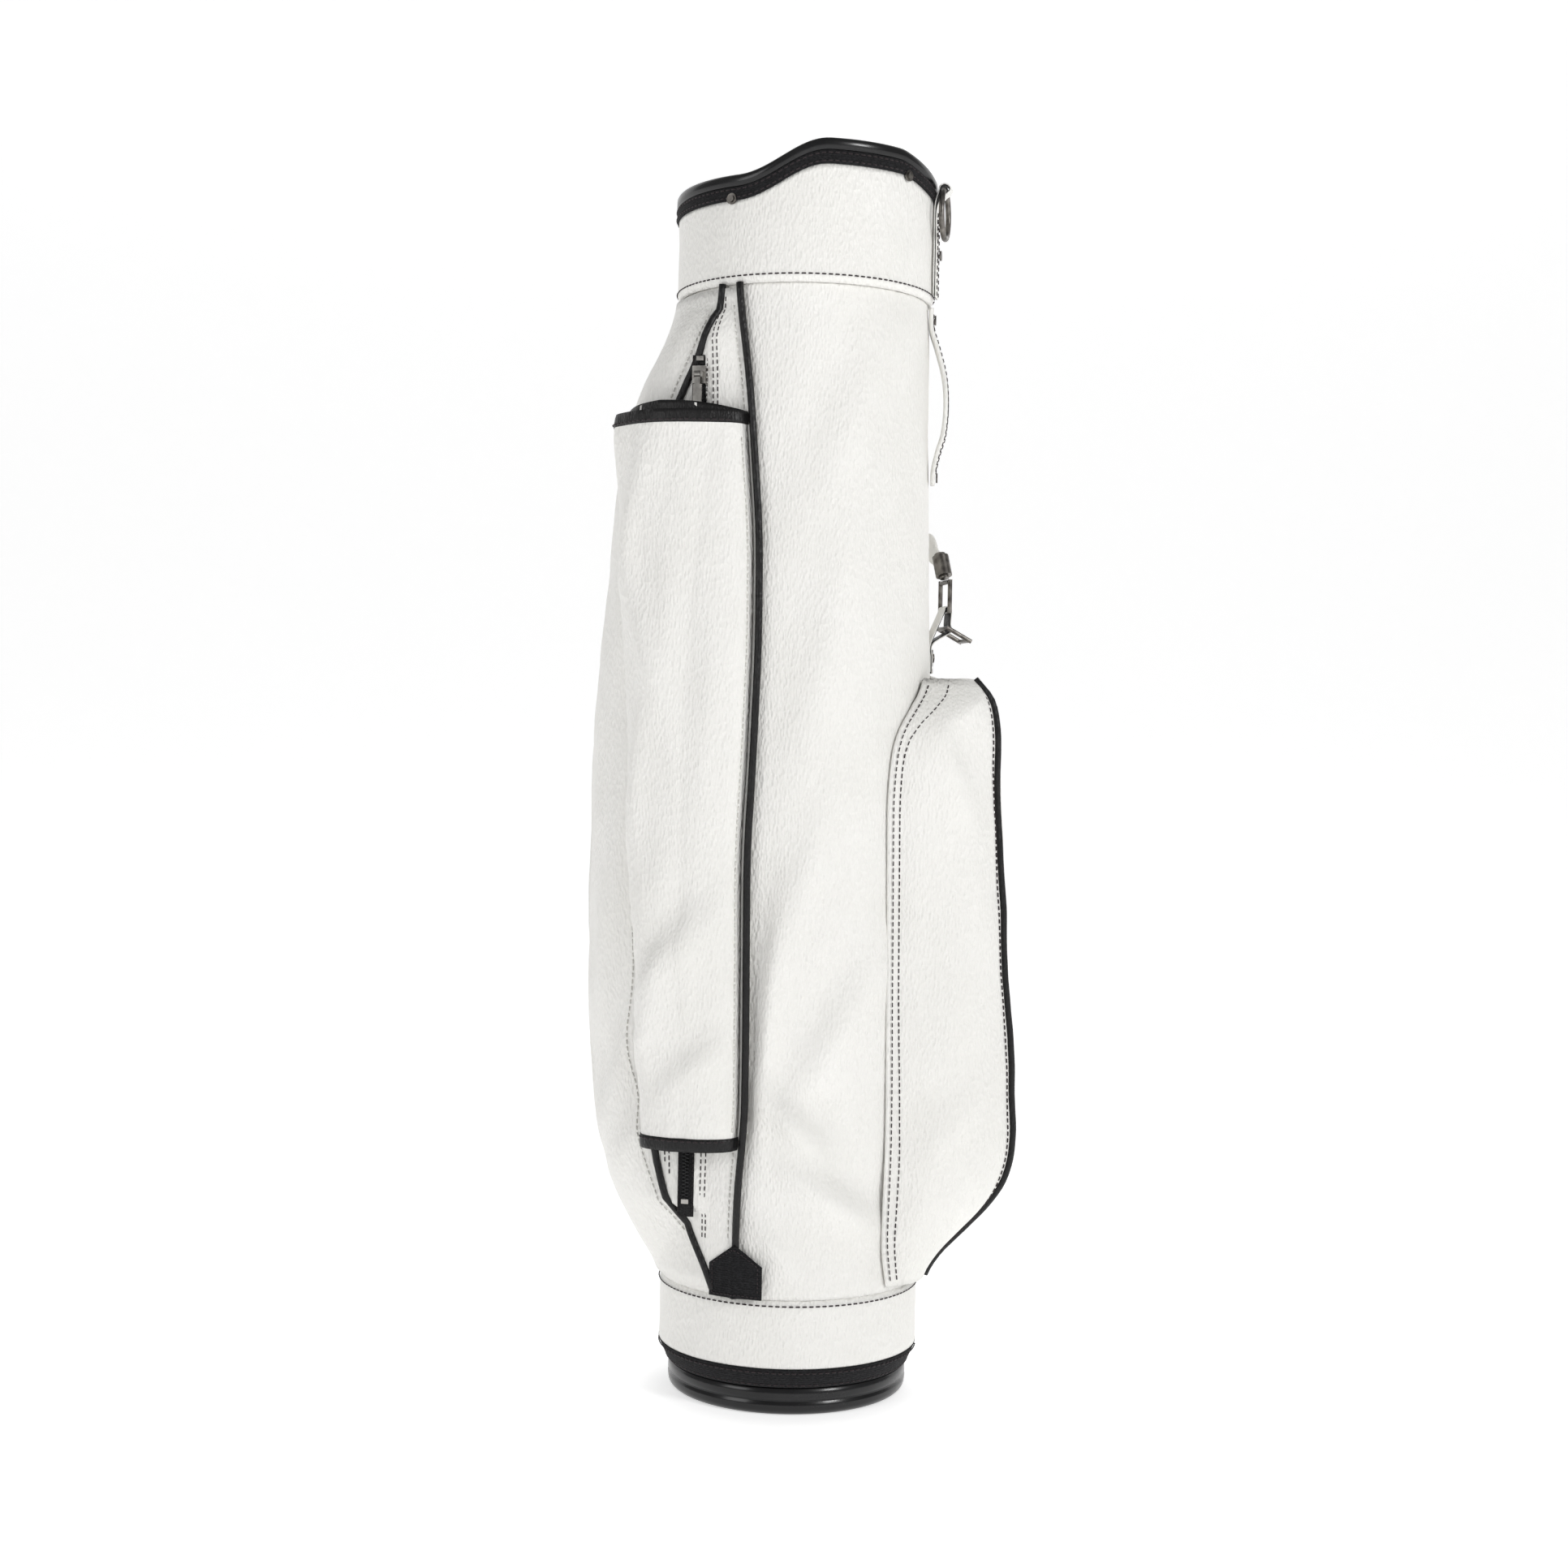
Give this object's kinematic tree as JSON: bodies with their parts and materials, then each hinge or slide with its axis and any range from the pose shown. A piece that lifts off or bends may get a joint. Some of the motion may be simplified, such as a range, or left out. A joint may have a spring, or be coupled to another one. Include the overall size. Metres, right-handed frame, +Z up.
{
  "type": "golf carry bag",
  "caption": "Slim upright single-strap golf bag: round leatherette barrel, swooped collar, apparel and ball pockets, umbrella sleeve.",
  "frame": {"origin": "centre of the base cup's underside", "axes": "+Z up along the barrel, -Y front, +X towards the ball pocket and strap"},
  "size_m": [0.3019, 0.2407, 0.864],
  "materials": {
    "leatherette_white": "pebbled off-white",
    "leather_black": "semi-gloss piping",
    "webbing_black": "woven",
    "plastic_black": "gloss moulded",
    "plastic_inner": "matte moulded",
    "foam": "closed-cell foam",
    "stay_rod": "glass-fibre rod",
    "antique_metal": "antique gunmetal",
    "nickel": "brushed nickel"
  },
  "bodies": {
    "bag": {"base_cup": "plastic_black", "base_pad": "foam", "base_binding": "webbing_black", "bottom_cuff": "leatherette_white", "barrel_shell": "leatherette_white", "stay_rods": "stay_rod", "base_rod_sockets": "plastic_inner", "collar_rod_sockets": "plastic_inner", "top_cuff": "leatherette_white", "top_webbing_band": "webbing_black", "top_collar": "plastic_black", "divider_cross_bar": "plastic_inner", "divider_half_bar": "plastic_inner", "cuff_snap_studs": "antique_metal", "apparel_front_gusset": "leatherette_white", "apparel_outer_panel": "leatherette_white", "apparel_rear_gusset": "leatherette_white", "front_seam_piping": "leather_black", "rear_seam_piping": "leather_black", "front_edge_piping": "leather_black", "rear_edge_piping": "leather_black", "piping_end_patches": "webbing_black", "apparel_zip_tape": "webbing_black", "apparel_zip_teeth": "plastic_inner", "apparel_zip_stops": "nickel", "umbrella_sleeve": "leatherette_white", "sleeve_top_binding": "leather_black", "sleeve_bottom_binding": "leather_black", "ball_front_gusset": "leatherette_white", "ball_outer_panel": "leatherette_white", "ball_rear_gusset": "leatherette_white", "ball_front_piping": "leather_black", "ball_rear_piping": "leather_black", "ball_zip_tape": "webbing_black", "ball_zip_teeth": "plastic_inner", "ring_tab": "leatherette_white", "ring_tab_rivet": "antique_metal", "carry_handle": "leatherette_white", "handle_rivets": "antique_metal", "strap_lower_chape": "leatherette_white", "strap_upper_chape": "leatherette_white", "chape_rivets": "antique_metal", "strap_lower_ring": "antique_metal", "strap_upper_ring": "antique_metal", "strap_swivel_pins": "antique_metal"},
    "towel_ring": {"towel_ring": "antique_metal"},
    "spare_ring": {"spare_ring": "antique_metal"},
    "apparel_slider": {"apparel_zip_slider": "nickel"},
    "apparel_puller": {"apparel_zip_puller": "nickel"},
    "ball_slider": {"ball_zip_slider": "nickel"},
    "ball_puller": {"ball_zip_puller": "nickel"},
    "strap": {"shoulder_strap": "leatherette_white", "strap_end_ferrules": "antique_metal", "strap_adjuster": "antique_metal"}
  },
  "joints": [
    {"name": "towel_ring_swing", "type": "hinge", "parent": "bag", "child": "towel_ring", "pos_m": [0.09684, -0.02058, 0.8455], "axis": [0.2079, 0.9781, 0], "range_deg": [-100, 0]},
    {"name": "spare_ring_swing", "type": "hinge", "parent": "bag", "child": "spare_ring", "pos_m": [0.1043, 0.02389, 0.5395], "axis": [-0.2233, 0.9748, 0], "range_deg": [-40, 40]},
    {"name": "apparel_zip_slide", "type": "slide", "parent": "bag", "child": "apparel_slider", "axis": [0, 0, 1], "range_m": [-0.55, 0.004]},
    {"name": "apparel_puller_swing", "type": "hinge", "parent": "apparel_slider", "child": "apparel_puller", "pos_m": [-0.07267, -0.08186, 0.704], "axis": [0.9781, -0.2079, 0], "range_deg": [-150, 0]},
    {"name": "ball_zip_slide", "type": "slide", "parent": "bag", "child": "ball_slider", "axis": [0, 0, 1], "range_m": [-0.27, 0.01]},
    {"name": "ball_puller_swing", "type": "hinge", "parent": "ball_slider", "child": "ball_puller", "pos_m": [0.1084, 0.06413, 0.452], "axis": [-0.9063, 0.4226, 0], "range_deg": [-150, 0]},
    {"name": "strap_swing", "type": "hinge", "parent": "bag", "child": "strap", "pos_m": [0.10498, 0.02404, 0.573], "axis": [-0.1749, 0.3066, 0.9356], "range_deg": [-75, 0]}
  ]
}
